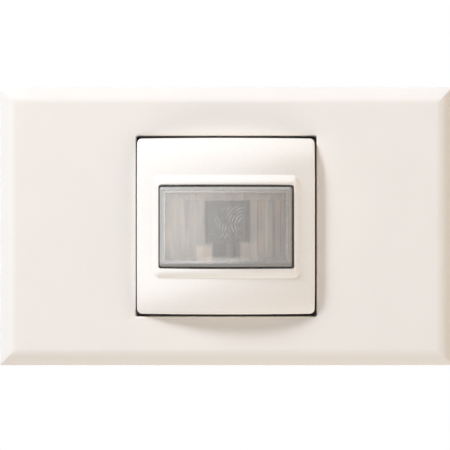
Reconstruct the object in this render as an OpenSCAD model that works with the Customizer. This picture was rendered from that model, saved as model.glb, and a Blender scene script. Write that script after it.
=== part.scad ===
// Motion sensor light switch: a clip-on cover plate, a clip-in square module with a domed
// push pad, and a fixed segmented lens in the pad's window. Sizes in mm.
// Drawn lying on its back: x right, y up the wall, z towards the room, wall face at z = 0.
// stand() turns it upright, so the finished part faces -Y with +Z up.

/* [Cover plate] */
// Width of the plate
plate_w = 114.3; // [110:0.1:122]
// Height of the plate
plate_h = 70.3; // [68:0.1:80]
// Stand-off of the plate front from the wall
plate_depth = 8; // [7.6:0.1:10]
// Moulded wall of the plate
plate_wall = 2.2; // [1.8:0.1:2.4]
// Width of the sloping border
bevel_w = 4.4; // [3:0.1:5]
// Slope of the border, degrees
bevel_angle = 36; // [28:1:42]
// Share of the border taken by its rounded shoulder
bevel_share = 0.62; // [0.4:0.01:0.8]

/* [Push pad] */
// Side of the square opening in the plate
opening = 45.3; // [44.8:0.1:46.5]
// Gap between pad and opening
pad_gap = 0.55; // [0.45:0.05:0.7]
// Bend radius of the pad's front about its upright axis
dome_r = 84; // [78:1:100]
// Radius by which the front falls off above and below the collar
end_r = 22; // [18:1:30]
// Height of the pad's corners above the plate front
corner_proud = 0.3; // [0.2:0.05:0.8]
// Moulded wall of the pad
pad_wall = 1.5; // [1.2:0.1:1.7]
// Rounding of the pad's front edges
pad_edge_r = 0.6; // [0.4:0.1:1]
// Rounding of the pad's upright corners
pad_corner_r = 1.3; // [1:0.1:2]
// Travel of the pad about its hinge, degrees
press_angle = 1.5; // [1:0.1:1.6]
// Radius of the hinge pins
pin_r = 1; // [0.8:0.1:1.1]
// Running clearance round a pin or spindle
run_clear = 0.05; // [0.03:0.01:0.08]

/* [Lens and window] */
// Width of the window in the pad
window_w = 33.5; // [31:0.1:34]
// Height of the window in the pad
window_h = 20.8; // [19:0.1:21.2]
// Gap between lens and window
lens_gap = 0.5; // [0.45:0.05:0.65]
// Bend radius of the lens about its upright axis
lens_r = 74; // [62:1:96]
// Height of the lens over the collar at mid width
lens_proud = 0.7; // [0.3:0.1:1.4]
// Lens wall at its thickest
lens_wall = 0.9; // [0.8:0.1:1.1]
// Rounding of the lens's front edges
lens_edge_r = 0.7; // [0.4:0.1:0.8]
// Depth of the prism teeth inside the lens
tooth = 0.32; // [0.2:0.02:0.4]
// Height of the collar round the window
collar_rise = 0.8; // [0.5:0.1:1.1]
// Width of the collar at each side of the window
collar_side = 1.8; // [1.4:0.1:2.2]
// Width of the collar above and below the window
collar_band = 2.5; // [1.8:0.1:2.8]
// Radius of the collar's shoulder
collar_round = 3; // [2.2:0.1:3.6]

/* [Wall mounting] */
// Distance between the two box screws
screw_pitch = 83.3; // [82:0.1:85]
// Width of a screw slot
slot_w = 4.2; // [3.8:0.1:5]
// Overall length of a screw slot
slot_l = 8; // [6.5:0.1:9]
// Thickness of the mounting frame
frame_t = 3; // [2.8:0.1:3.4]

/* [Rear housing] */
// Depth of the housing behind the wall face
housing_depth = 28; // [27:0.5:34]
// Moulded wall of the housing
housing_wall = 1.6; // [1.4:0.1:1.8]
// Height of the relay on the power board
relay_h = 10; // [8:0.1:10.5]

/* [Terminals] */
// Radius of a wire entry
wire_r = 1.7; // [1.4:0.1:1.8]
// Radius of a terminal screw's head
term_head_r = 2; // [1.7:0.1:2.1]

/* [Hidden] */
$fn = 72;
fine = 240;
meet = 10;
eps = 0.01;
touch = 0.05;
clear = 0.15;
slack = 0.3;

pad = opening - 2 * pad_gap;
pad_half = pad / 2;
plate_in = plate_depth - plate_wall;
sleeve_t = 1.4;
sleeve = opening + 2 * sleeve_t;
collar_w = window_w + 2 * collar_side;
collar_h = window_h + 2 * collar_band;
collar_r = 1.8;
collar_run = sqrt(2 * collar_round * collar_rise - collar_rise * collar_rise);
level_half = collar_h / 2 + 0.5;
corner_z = plate_depth + corner_proud;
dome_c = corner_z - dome_top(0, pad_half, pad_half);

flange_t = 1.4;
flange = opening - 2 * 0.5;
flange_top = frame_t + flange_t;

hinge_y = pad_half - pad_wall - 2.4;
hinge_z = flange_top + 2.3;
ear_r = pin_r + 0.8;
ear_t = 1.4;
ear_x = pad_half - pad_wall - 0.65 - 1.5 - clear - ear_t;
press_drop = (hinge_y + pad_half) * sin(press_angle);
skirt_z = flange_top + press_drop + 0.4;

lens_w = window_w - 2 * lens_gap;
lens_h = window_h - 2 * lens_gap;
lens_lip = 1.25;
lens_lip_t = 1;
lens_c = dome_c + dome_top(collar_rise, 0, window_h / 2) + lens_proud - lens_r;
tower_w = lens_w + 2 * lens_lip;
tower_h = lens_h + 2 * lens_lip;
tower_wall = 1.3;
lens_hook_x = 9;
lens_hook_w = 4;
well_w = tower_w - 2 * tower_wall;
well_h = tower_h - 2 * tower_wall;
tray_ledge = 1.2;
tray_t = 1;
tower_top = dome_c + dome_top(-pad_wall, tower_w / 2, tower_h / 2) - press_drop - lens_lip_t - slack;

press_arm = pad - 10;
push_y = hinge_y - press_arm;
spring_x = 14.5;
spring_top = dome_c + dome_top(-pad_wall, spring_x + 1.8, -push_y + 1.8) - 0.2;
spring_r = 1.75;
wire = 0.22;
curls = 4;
spigot_r = spring_r - wire - 0.2;
spigot_h = 1.2;
stop_x = 7.5;
stop_w = 5;
stop_y = push_y - 1.6;

housing = opening - 4;
housing_in = housing - 2 * housing_wall;
floor_t = 2;
aperture = housing + 2 * slack;
boss_r = 2.6;
boss_at = housing_in / 2 - boss_r - slack;
board = housing_in - 2 * slack;
board_t = 1.6;
notch = board / 2 - boss_at + boss_r + slack;
peg_r = 1;
sensor_top = frame_t - 5;
sensor_low = sensor_top - board_t;
power_top = sensor_low - relay_h - 0.4;
power_low = power_top - board_t;
rear_z = -housing_depth;

frame_w = plate_w - 2 * plate_wall - 4;
frame_h = plate_h - 2 * plate_wall - 3.8;
frame_r = 4;
hook_x = 30;
hook_w = 8;
hook_t = 1.2;
hook_relief = 1.6;
hook_lip = 0.95;
hook_low = 0.3;
notch_w = 8;
notch_h = 1.4;
rib_x = 28;
rib_y = 13;
rib_l = 18;
rib_t = 1.2;
latch_w = 10;
latch_z = 1.5;
recess_w = housing - 17;
recess_h = housing - 26;
recess_y = 4;
recess_t = 0.4;
vent_w = 1.6;
vent_l = 7;
vent_pitch = 4.2;
vent_z = (sensor_low + power_top) / 2;

can_r = 4.1;
can_h = 4.2;
filter_w = 3.9;
filter_h = 2.9;
filter_t = 0.35;
lamp_r = 1.5;
lamp_top = flange_top + 1.2;
lamp_h = lamp_top - lamp_r - sensor_top;
can_top = sensor_top + 8;
holder_w = 11;
holder_h = 14.5;
led_at = [window_w / 2 - 6.25, 5.4 - window_h / 2];
dial_x = 7.5;
trimmer = 6.4;
dial_y = board / 2 - trimmer / 2 - slack;
dial_r = 2.6;
spindle_r = 1.2;
trim_top = sensor_top + 4;
key_r = 1.7;
key_top = hinge_z - 0.2;
key_body = 3.5;
key_side = 6;
chip_at = [12, 6.5];
chip_w = 4;
chip_h = 5;
chip_t = 1.5;
leg_pitch = 1.27;

relay_at = [-2, 6.3];
relay_w = 20;
relay_d = 10;
film_at = [-5.5, -5.5];
film_w = 13;
film_d = 6;
drum_at = [12.3, -1];
drum_r = 3.1;
drum_l = 11;
disc_at = [5.7, -5.5];
disc_r = 3.4;
disc_t = 3;
fuse_r = 1.6;
fuse_l = 8;
link_y = boss_at - 1;
link_w = 15.4;
link_d = 2.5;
pin_pitch = 2.54;

tower_r = boss_r + 0.6;
screw_r = 1.1;
head_r = 2.1;
head_t = 1.6;
screw_bite = 8.5;
term_head_t = 1.6;
slot_t = 0.7;
block_w = 2 * (boss_at - tower_r) - 0.4;
term_pitch = (block_w - 0.4) / 3;
block_h = 10;
block_low = -housing_in / 2 + 0.1;
block_mid = block_low + 5.8;
lead_in = 4;
pole_wall = 1.2;
clamp_w = term_pitch - 2 * pole_wall;
clamp_h = 5.8;
clamp_bolt_r = 1.45;
clamp_low = rear_z + lead_in + touch;
term_z = (clamp_low + power_low) / 2;
well_y = block_mid - clamp_h / 2 - 0.5;

row_edges = [0, 0.09, 0.27, 0.63, 0.86, 1];
row_strips = [10, 14, 16, 16, 14];

// Radius of the pad's front, raised by h, about its upright axis at y
function bend(h, y) =
    let (past = max(abs(y) - level_half, 0))
    dome_r - end_r + sqrt(pow(end_r + h, 2) - past * past);

// Height of the front, raised by h, over that axis at x, y
function dome_top(h, x, y) = sqrt(pow(bend(h, y), 2) - x * x);

// Height of the smooth inner face of the lens over x
function lens_inside(x) = sqrt(pow(lens_r - lens_wall, 2) - x * x);

// Corner points of a rectangle pattern
function corners(x, y) = [[-x, -y], [x, -y], [x, y], [-x, y]];

module stand() {
    rotate([90, 0, 0]) children();
}

module round_rect(w, h, r) {
    square([w - 2 * r, h], center = true);
    square([w, h - 2 * r], center = true);
    for (p = corners(w / 2 - r, h / 2 - r))
        translate(p) circle(r);
}

module slab(w, h, r, z0, z1) {
    translate([0, 0, z0]) linear_extrude(z1 - z0) round_rect(w, h, r);
}

module rod(r, z0, z1) {
    translate([0, 0, z0]) cylinder(r = r, h = z1 - z0);
}

module box(x0, x1, y0, y1, z0, z1) {
    translate([x0, y0, z0]) cube([x1 - x0, y1 - y0, z1 - z0]);
}

// Round bar along x from x0 to x1
module bar_x(r, x0, x1) {
    translate([x0, 0, 0]) rotate([0, 90, 0]) cylinder(r = r, h = x1 - x0);
}

// Round bar along y from y0 to y1
module bar_y(r, y0, y1) {
    translate([0, y1, 0]) rotate([90, 0, 0]) cylinder(r = r, h = y1 - y0);
}

// Circle that rounds the corner between a disc of radius r and the line y = half. It crosses both
// at a small angle: [place along the radius, place along y]
function rounding_at(r, half, e) =
    let (c = half - e * cos(meet))
    [sqrt(pow(r - e * cos(meet), 2) - c * c), c];

// Outline of what that rounding takes off
module rounding_waste(r, half, e) {
    p = rounding_at(r, half, e);
    k = (r + 1) / norm(p);
    difference() {
        polygon([p, [p[0], half + 1], [r + 1, half + 1], k * p]);
        translate(p) circle(e);
    }
}

// Outline of what rounds the rim of a disc of radius r at height half
module rim_waste(r, half, e) {
    d = e * cos(meet);
    difference() {
        translate([r - d, half - d]) square(d + 1);
        translate([r - d, half - d]) circle(e);
    }
}

// Rounds the left and right front edges of a child w wide, bent to radius r about the y axis
module round_sides(r, w, e) {
    difference() {
        children();
        for (s = [0, 1])
            mirror([s, 0, 0]) translate([0, pad, 0]) rotate([90, 0, 0]) linear_extrude(2 * pad)
                rotate(90) mirror([0, 1]) rounding_waste(r, w / 2, e);
    }
}

// Rounds the upper and lower front edges of a child h high, bent to radius r about the y axis
module round_rims(r, h, e) {
    difference() {
        children();
        for (s = [0, 1])
            mirror([0, s, 0]) rotate([-90, 0, 0]) rotate_extrude($fn = fine) rim_waste(r, h / 2, e);
    }
}

// Side outline of the pad's front, raised by lift: level in the middle, falling off at both ends
module front_outline(lift) {
    reach = pad_half + 1;
    intersection() {
        union() {
            translate([0, -level_half]) square([dome_r + lift, 2 * level_half]);
            translate([0, -reach]) square([dome_r - end_r, 2 * reach]);
            for (s = [-1, 1])
                translate([dome_r - end_r, s * level_half]) circle(end_r + lift, $fn = 360);
        }
        translate([0, -reach]) square([dome_r + lift + 1, 2 * reach]);
    }
}

// That outline turned about the y axis
module front_form(lift) {
    rotate([-90, 0, 0]) rotate_extrude($fn = fine) front_outline(lift);
}

// Plate outline across width w and depth d, with a rounded shoulder running into a slope
module border_profile(w, d) {
    run = bevel_share * bevel_w;
    r = run / sin(bevel_angle);
    cx = w / 2 - bevel_w;
    cz = d - r;
    ex = cx + run;
    ez = cz + r * cos(bevel_angle);
    fz = ez - (bevel_w - run) * tan(bevel_angle);
    polygon([[-w / 2, 0], [w / 2, 0], [w / 2, fz], [ex, ez], [cx, d], [-cx, d], [-ex, ez], [-w / 2, fz]]);
    for (s = [-1, 1])
        intersection() {
            translate([s * cx, cz]) circle(r, $fn = 360);
            polygon([[s * cx, cz], [s * ex, ez], [s * ex, d + 1], [s * cx, d + 1]]);
        }
}

module bordered_slab(w, h, d) {
    intersection() {
        translate([0, h / 2 + 1, 0]) rotate([90, 0, 0]) linear_extrude(h + 2) border_profile(w, d);
        translate([-w / 2 - 1, 0, 0]) rotate([90, 0, 90]) linear_extrude(w + 2) border_profile(h, d);
    }
}

module cover_plate() {
    hook_y = frame_h / 2 + 0.35;
    color("AntiqueWhite") {
        difference() {
            bordered_slab(plate_w, plate_h, plate_depth);
            difference() {
                translate([0, 0, -1])
                    bordered_slab(plate_w - 2 * plate_wall, plate_h - 2 * plate_wall, plate_in + 1);
                slab(sleeve, sleeve, sleeve_t + 0.5, frame_t + 0.4, plate_depth);
            }
            slab(opening, opening, 0.5, -1, plate_depth + 1);
            // Pry notch in the lower rim
            translate([0, -plate_h / 2, 0])
                box(-notch_w / 2, notch_w / 2, -1, plate_wall + 1, -1, notch_h);
        }
        for (sx = [-1, 1], sy = [-1, 1])
            translate([sx * hook_x, 0, 0]) flip_y(sy) snap_hook(hook_y);
    }
}

// Mirror across y for the lower row
module flip_y(s) {
    mirror([0, s < 0 ? 1 : 0, 0]) children();
}

// Hook whose arm stands at y and whose lip points to the middle of the plate
module snap_hook(y) {
    root = plate_in - 1;
    catch = hook_relief - 0.1;
    box(-hook_w / 2 - 0.7, hook_w / 2 + 0.7, y - 1, y + hook_t + slack, root, root + hook_t);
    translate([-hook_w / 2, y, 0]) rotate([90, 0, 90]) linear_extrude(hook_w)
        polygon([[0, root + 0.5], [hook_t, root + 0.5], [hook_t, hook_low], [-hook_low, hook_low],
            [-hook_lip, hook_lip], [-hook_lip, catch], [0, catch]]);
}

module mounting_frame() {
    hook_y = frame_h / 2;
    color("DimGray") difference() {
        union() {
            slab(frame_w, frame_h, frame_r, 0, frame_t);
            difference() {
                slab(frame_w - 3, frame_h - 3, frame_r - 1.5, frame_t - eps, frame_t + 1);
                slab(frame_w - 5.4, frame_h - 5.4, frame_r - 2.7, frame_t - 1, frame_t + 2);
            }
            for (s = [-1, 1])
                translate([s * screw_pitch / 2, 0, 0])
                    slab(slot_l + 6, slot_w + 6, 2.5, frame_t - eps, frame_t + 0.6);
            for (sx = [-1, 1], sy = [-1, 1])
                translate([sx * rib_x, sy * rib_y, 0])
                    box(-rib_t / 2, rib_t / 2, -rib_l / 2, rib_l / 2, frame_t - eps, frame_t + 1);
        }
        slab(aperture, aperture, 1.5, -1, frame_t + 1);
        for (s = [-1, 1])
            translate([s * screw_pitch / 2, 0, -1]) linear_extrude(frame_t + 3) slot_shape();
        // Pockets for the module latches, open to the back
        for (s = [-1, 1])
            translate([s * (aperture / 2 + 0.6), 0, 0])
                box(-0.8, 0.8, -latch_w / 2 - 0.5, latch_w / 2 + 0.5, -1, latch_z);
        // Edge steps for the plate hooks
        for (sx = [-1, 1], sy = [-1, 1])
            translate([sx * hook_x, sy * hook_y, 0])
                box(-hook_w / 2 - 0.5, hook_w / 2 + 0.5, -1.2, 1.2, -1, hook_relief);
    }
}

module slot_shape() {
    run = slot_l - slot_w;
    square([run, slot_w], center = true);
    for (s = [-1, 1])
        translate([s * run / 2, 0]) circle(slot_w / 2);
}

module front_carrier() {
    color("DarkSlateGray") difference() {
        union() {
            slab(flange, flange, 1.2, frame_t, flange_top);
            slab(tower_w, tower_h, 1, frame_t, tower_top);
            carrier_ears();
            lens_hooks();
            for (p = corners(boss_at, boss_at))
                translate(p) rod(boss_r, power_top, frame_t + eps);
            for (s = [-1, 1])
                translate([s * spring_x, push_y, 0]) rod(spigot_r, flange_top - eps, flange_top + spigot_h);
            for (p = corners(board / 2 - 2 * peg_r, board / 4))
                translate(p) rod(peg_r, sensor_top, frame_t + eps);
            for (s = [0, 1])
                mirror([s, 0, 0]) board_clip();
        }
        slab(well_w, well_h, 0.6, flange_top, tower_top + 1);
        slab(well_w - 2 * tray_ledge, well_h - 2 * tray_ledge, 0.6, frame_t - 1, flange_top + 1);
        translate([0, push_y, 0]) rod(key_r + 0.4, frame_t - 1, flange_top + 1);
        for (s = [-1, 1])
            translate([s * dial_x, dial_y, 0]) rod(dial_r + slack, frame_t - 1, flange_top + 1);
        for (p = corners(boss_at, boss_at))
            translate(p) rod(screw_r + touch, power_top - 1, power_top + screw_bite + 0.5);
        // Slots for the pad's stop hooks
        for (s = [-1, 1])
            translate([s * stop_x, stop_y, 0])
                box(-stop_w / 2 - slack, stop_w / 2 + slack, -1.1, 0.8, frame_t - 1, flange_top + 1);
    }
}

module carrier_ears() {
    for (s = [0, 1])
        mirror([s, 0, 0]) difference() {
            union() {
                box(ear_x, ear_x + ear_t, hinge_y - ear_r, hinge_y + ear_r, flange_top - eps, hinge_z);
                translate([0, hinge_y, hinge_z]) bar_x(ear_r, ear_x, ear_x + ear_t);
            }
            translate([0, hinge_y, hinge_z]) bar_x(pin_r + run_clear, ear_x - 1, ear_x + ear_t + 1);
        }
}

// Four hooks on the tower that hold down the lens flange
module lens_hooks() {
    top = tower_top + lens_lip_t + 0.8;
    half = lens_hook_w / 2;
    for (sx = [-1, 1], sy = [-1, 1])
        translate([sx * lens_hook_x, 0, 0]) flip_y(sy) {
            box(-half, half, tower_h / 2 + 0.1, tower_h / 2 + 1.1, flange_top - eps, top);
            box(-half, half, tower_h / 2 - 0.4, tower_h / 2 + 0.2, flange_top - eps, tower_top - touch);
            translate([-half, 0, 0]) rotate([90, 0, 90]) linear_extrude(lens_hook_w)
                translate([tower_h / 2, top])
                    polygon([[0.2, 0], [0.2, -0.7], [-0.6, -0.7], [-0.6, -0.5], [-0.1, 0]]);
        }
}

// Clip in the board's side notch with a lip under the sensor board
module board_clip() {
    x = board / 2 - 1.6;
    box(x, x + 1.3, -2.2, 2.2, sensor_low - 0.9, frame_t + eps);
    translate([0, 2.2, 0]) rotate([90, 0, 0]) linear_extrude(4.4)
        translate([x, sensor_low])
            polygon([[0.1, -touch], [-0.9, -touch], [-0.9, -0.3], [-0.3, -0.9], [0.1, -0.9]]);
}

module pad_outside() {
    translate([0, 0, dome_c]) round_sides(dome_r, pad, pad_edge_r)
        difference() {
            intersection() {
                front_form(0);
                slab(pad, pad, pad_corner_r, skirt_z - dome_c, dome_r + 1);
            }
            for (s = [0, 1])
                mirror([0, s, 0]) rotate([-90, 0, 0]) rotate_extrude($fn = fine)
                    translate([dome_r - end_r, level_half])
                        rounding_waste(end_r, pad_half - level_half, pad_edge_r);
        }
}

module pad_collar() {
    grow = 2 * (collar_round - collar_run);
    r = dome_r + collar_rise;
    translate([0, 0, dome_c])
        round_sides(r, collar_w + grow, collar_round) round_rims(r, collar_h + grow, collar_round)
            intersection() {
                bar_y(r, -level_half, level_half, $fn = fine);
                slab(collar_w + 0.1, collar_h + 0.1, collar_r, skirt_z + 1 - dome_c, r + 1);
            }
}

// Space under the pad's skin, reaching down to z
module pad_hollow(z) {
    w = pad - 2 * pad_wall;
    intersection() {
        translate([0, 0, dome_c]) front_form(-pad_wall);
        slab(w, w, 0.4, z, dome_c + dome_r);
    }
}

// Posts, lugs and hooks that hang from the pad's skin
module pad_fittings() {
    lug_x = ear_x + ear_t + clear;
    difference() {
        union() {
            translate([0, push_y, 0]) rod(2.2, key_top + touch, dome_c + dome_r);
            for (s = [-1, 1])
                translate([s * spring_x, push_y, 0]) {
                    rod(spring_r + 0.7, spring_top, dome_c + dome_r);
                    rod(spigot_r, spring_top - 1, dome_c + dome_r);
                }
            for (s = [0, 1])
                mirror([s, 0, 0]) {
                    box(lug_x, lug_x + 1.5, hinge_y - 1.6, hinge_y + 1.6, hinge_z, dome_c + dome_r);
                    translate([0, hinge_y, hinge_z]) bar_x(1.6, lug_x, lug_x + 1.5);
                }
            for (s = [-1, 1])
                translate([s * stop_x, stop_y, 0]) stop_hook();
        }
        difference() {
            slab(2 * pad, 2 * pad, 1, hinge_z + 2.5, dome_c + dome_r + 1);
            translate([0, 0, dome_c]) front_form(-pad_wall / 2);
        }
    }
    for (s = [0, 1])
        mirror([s, 0, 0]) translate([0, hinge_y, hinge_z]) bar_x(pin_r, ear_x - 0.3, lug_x + eps);
}

// Arm whose lip rests under the carrier and stops the pad at its outer limit
module stop_hook() {
    box(-stop_w / 2, stop_w / 2, -0.8, 0.4, frame_t - 1.1, dome_c + dome_r);
    translate([-stop_w / 2, 0, 0]) rotate([90, 0, 90]) linear_extrude(stop_w)
        translate([0, frame_t])
            polygon([[0.3, -1.1], [0.3, -touch], [1.3, -touch], [1.3, -0.5], [0.7, -1.1]]);
}

module push_pad() {
    color("Ivory") {
        difference() {
            union() {
                pad_outside();
                pad_collar();
            }
            pad_hollow(skirt_z - 1);
            slab(window_w, window_h, 0.5, skirt_z, dome_c + dome_r + 3);
        }
        pad_fittings();
    }
}

// Cap bent about the upright axis through the origin, front edges rounded by e, back at z = base
module bent_block(r, w, h, e, base) {
    round_rims(r, h, e) round_sides(r, w, e)
        intersection() {
            bar_y(r, -h / 2, h / 2, $fn = fine);
            box(-w / 2, w / 2, -h / 2 - 1, h / 2 + 1, base, r + 1);
        }
}

// Roof line of the lens hollow: prism teeth that all lean away from the middle
function teeth(n, half) = [
    for (i = [0 : n - 1], end = [0, 1])
        let (a = -half + 2 * half * i / n, b = -half + 2 * half * (i + 1) / n)
        let (deep = i < n / 2 ? end == 0 : end == 1)
        end == 0 ? [a, lens_inside(a) + (deep ? tooth : 0)] : [b, lens_inside(b) + (deep ? tooth : 0)]];

module lens_hollow(back) {
    half = lens_w / 2 - lens_wall;
    tall = lens_h - 2 * lens_wall;
    for (row = [0 : len(row_strips) - 1]) {
        y0 = (row_edges[row] - 0.5) * tall;
        y1 = (row_edges[row + 1] - 0.5) * tall;
        translate([0, y1, 0]) rotate([90, 0, 0]) linear_extrude(y1 - y0)
            polygon(concat([[-half, back]], teeth(row_strips[row], half), [[half, back]]));
    }
}

module fresnel_lens() {
    color("Gainsboro") difference() {
        union() {
            translate([0, 0, lens_c]) bent_block(lens_r, lens_w, lens_h, lens_edge_r, tower_top - lens_c);
            slab(tower_w, tower_h, 1, tower_top, tower_top + lens_lip_t);
        }
        translate([0, 0, lens_c]) lens_hollow(tower_top - lens_c - 1);
    }
}

module optics_tray() {
    w = well_w - 2 * clear;
    h = well_h - 2 * clear;
    color("Linen") difference() {
        slab(w, h, 0.5, flange_top, tower_top - touch);
        slab(w - 2 * tray_t, h - 2 * tray_t, 0.4, flange_top + tray_t, tower_top + 1);
        slab(holder_w + 0.4, holder_h + 0.4, 0.7, flange_top - 1, tower_top);
        for (s = [-1, 1])
            translate([s * led_at[0], led_at[1], 0]) rod(lamp_r + clear, flange_top - 1, lamp_top);
    }
}

module sensor_holder() {
    color("SlateGray") difference() {
        slab(holder_w, holder_h, 0.5, sensor_top, can_top - 0.6);
        rod(can_r + clear, can_top - can_h, can_top + 1);
        rod(can_r + 0.7, can_top - can_h, can_top - can_h + 0.8);
        rod(can_r - 1.1, sensor_top - 1, can_top);
    }
}

module pyro_can() {
    color("DimGray") difference() {
        union() {
            rod(can_r, can_top - can_h, can_top);
            rod(can_r + 0.5, can_top - can_h, can_top - can_h + 0.6);
            for (a = [0, 120, 240])
                rotate(a) translate([can_r / 2, 0, 0]) rod(0.25, sensor_top, can_top - can_h + 0.2);
        }
        translate([0, 0, can_top - touch - filter_t])
            linear_extrude(1) square([filter_w + 2 * touch, filter_h + 2 * touch], center = true);
    }
}

module pyro_window() {
    color("DarkOliveGreen") translate([0, 0, can_top - touch - filter_t])
        linear_extrude(filter_t) square([filter_w, filter_h], center = true);
}

module small_lamp(tint) {
    color(tint) {
        rod(lamp_r, sensor_top, sensor_top + lamp_h);
        translate([0, 0, sensor_top + lamp_h]) sphere(lamp_r);
        rod(lamp_r + 0.25, sensor_top, sensor_top + 0.9);
    }
}

module indicator_led() {
    translate([led_at[0], led_at[1], 0]) small_lamp("Seashell");
}

module light_sensor() {
    translate([-led_at[0], led_at[1], 0]) small_lamp("LightSteelBlue");
}

module sensor_board() {
    color("SeaGreen") difference() {
        slab(board, board, 1, sensor_low, sensor_top);
        for (p = corners(board / 2, board / 2))
            translate(p) slab(2 * notch, 2 * notch, 1, sensor_low - 1, sensor_top + 1);
        for (s = [-1, 1])
            translate([s * board / 2, 0, 0]) box(-1.8, 1.8, -2.5, 2.5, sensor_low - 1, sensor_top + 1);
    }
}

module signal_chip() {
    color("DarkSlateGray") translate([chip_at[0], chip_at[1], sensor_low]) {
        box(-chip_w / 2, chip_w / 2, -chip_h / 2, chip_h / 2, -0.1 - chip_t, -0.1);
        for (s = [-1, 1], k = [-1.5 : 1.5])
            translate([s * (chip_w / 2 + 0.5), leg_pitch * k, 0])
                box(-0.6, 0.6, -0.2, 0.2, -0.5, 0);
    }
}

module key_switch() {
    color("Black") translate([0, push_y, 0]) difference() {
        union() {
            slab(key_side, key_side, 0.4, sensor_top, sensor_top + key_body);
            rod(key_r + 0.6, sensor_top + key_body - eps, sensor_top + key_body + 0.5);
        }
        rod(key_r + run_clear, sensor_top + 0.6, sensor_top + key_body + 1);
    }
}

module key_plunger() {
    color("WhiteSmoke") translate([0, push_y, 0]) rod(key_r, sensor_top + key_body - 1.4, key_top);
}

// One unbroken helix: rings of six points about a rising circle
module helix(r, w, z0, z1, n) {
    rings = 8 * n;
    pts = [for (i = [0 : rings], k = [0 : 5])
        let (a = 360 * i / 8, b = 60 * k, d = r + w * cos(b))
        [d * cos(a), d * sin(a), z0 + (z1 - z0) * i / rings + w * sin(b)]];
    sides = [for (i = [0 : rings - 1], k = [0 : 5])
        let (p = 6 * i + k, q = 6 * i + (k + 1) % 6)
        each [[p, p + 6, q], [q, p + 6, q + 6]]];
    caps = [for (k = [1 : 4])
        each [[0, k, k + 1], [6 * rings, 6 * rings + k + 1, 6 * rings + k]]];
    polyhedron(points = pts, faces = concat(sides, caps));
}

module return_springs() {
    z0 = flange_top + wire + 0.02;
    z1 = spring_top - wire - 0.02;
    gap = min([for (i = [0 : 8 * curls], j = [i + 5 : 8 * curls])
        norm([spring_r * (cos(45 * i) - cos(45 * j)), spring_r * (sin(45 * i) - sin(45 * j)),
            (z1 - z0) * (j - i) / (8 * curls)])]) - 2 * wire;
    echo(least_spring_gap = gap);
    color("LightGray") for (s = [-1, 1])
        translate([s * spring_x, push_y, 0]) helix(spring_r, wire, z0, z1, curls);
}

module trimmer_body() {
    color("RoyalBlue") difference() {
        slab(trimmer, trimmer, 0.4, sensor_top, trim_top);
        rod(spindle_r + run_clear, sensor_top + 0.6, trim_top + 1);
    }
}

module dial() {
    top = flange_top + 0.5;
    difference() {
        union() {
            rod(dial_r, trim_top + touch, top);
            rod(spindle_r, sensor_top + 1, trim_top + 1);
        }
        box(-dial_r - 1, dial_r + 1, -0.4, 0.4, top - 0.9, top + 1);
        box(0, 0.8, 0.9, 1.5, top - 0.4, top + 1);
    }
}

module time_trimmer() {
    translate([-dial_x, dial_y, 0]) trimmer_body();
}

module light_trimmer() {
    translate([dial_x, dial_y, 0]) trimmer_body();
}

module time_dial() {
    color("WhiteSmoke") translate([-dial_x, dial_y, 0]) dial();
}

module light_dial() {
    color("WhiteSmoke") translate([dial_x, dial_y, 0]) dial();
}

module board_connector() {
    split = sensor_low - link_d;
    color("DimGray") translate([0, link_y, 0]) {
        box(-link_w / 2, link_w / 2, -link_d / 2, link_d / 2, power_top, split - 0.1);
        box(-link_w / 2, link_w / 2, -link_d / 2, link_d / 2, split, sensor_low);
        for (k = [-2.5 : 2.5])
            translate([pin_pitch * k, 0, split])
                box(-0.32, 0.32, -0.32, 0.32, -link_d, link_d - 1);
    }
}

module power_board() {
    color("DarkGreen") difference() {
        slab(board, board, 1, power_low, power_top);
        for (p = corners(boss_at, boss_at))
            translate(p) rod(screw_r + slack, power_low - 1, power_top + 1);
    }
}

module relay() {
    color("MidnightBlue") translate(relay_at) {
        slab(relay_w, relay_d, 0.6, power_top, power_top + 1.2);
        slab(relay_w - 0.6, relay_d - 0.6, 0.6, power_top + 1, power_top + relay_h);
    }
}

module film_capacitor() {
    color("Goldenrod") translate(film_at)
        slab(film_w, film_d, 0.8, power_top, power_top + relay_h - 1.2);
}

module smoothing_capacitor() {
    groove = 0.4;
    color("Navy") translate([drum_at[0], drum_at[1], power_top + drum_r + touch]) difference() {
        bar_y(drum_r, -drum_l / 2, drum_l / 2);
        translate([0, 1.5 - drum_l / 2, 0]) rotate([90, 0, 0]) rotate_extrude()
            translate([drum_r + clear, 0]) circle(groove);
    }
}

module varistor() {
    lift = disc_r + touch;
    color("SteelBlue") translate([disc_at[0], disc_at[1], power_top + lift]) {
        bar_x(disc_r, -disc_t / 2, disc_t / 2);
        for (s = [-1, 1])
            translate([0, s * (disc_r - 0.95), 0]) box(-0.8, 0.8, -0.25, 0.25, -lift, 0);
    }
}

module fuse() {
    cap = fuse_l / 4;
    color("Tan") translate([0, boss_r - boss_at, power_top + fuse_r + touch]) {
        bar_x(fuse_r - slack, -fuse_l / 2 + 0.8, fuse_l / 2 - 0.8);
        bar_x(fuse_r, -fuse_l / 2, cap - fuse_l / 2);
        bar_x(fuse_r, fuse_l / 2 - cap, fuse_l / 2);
    }
}

module each_terminal() {
    for (k = [-1, 0, 1])
        translate([k * term_pitch, block_mid, 0]) children();
}

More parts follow.
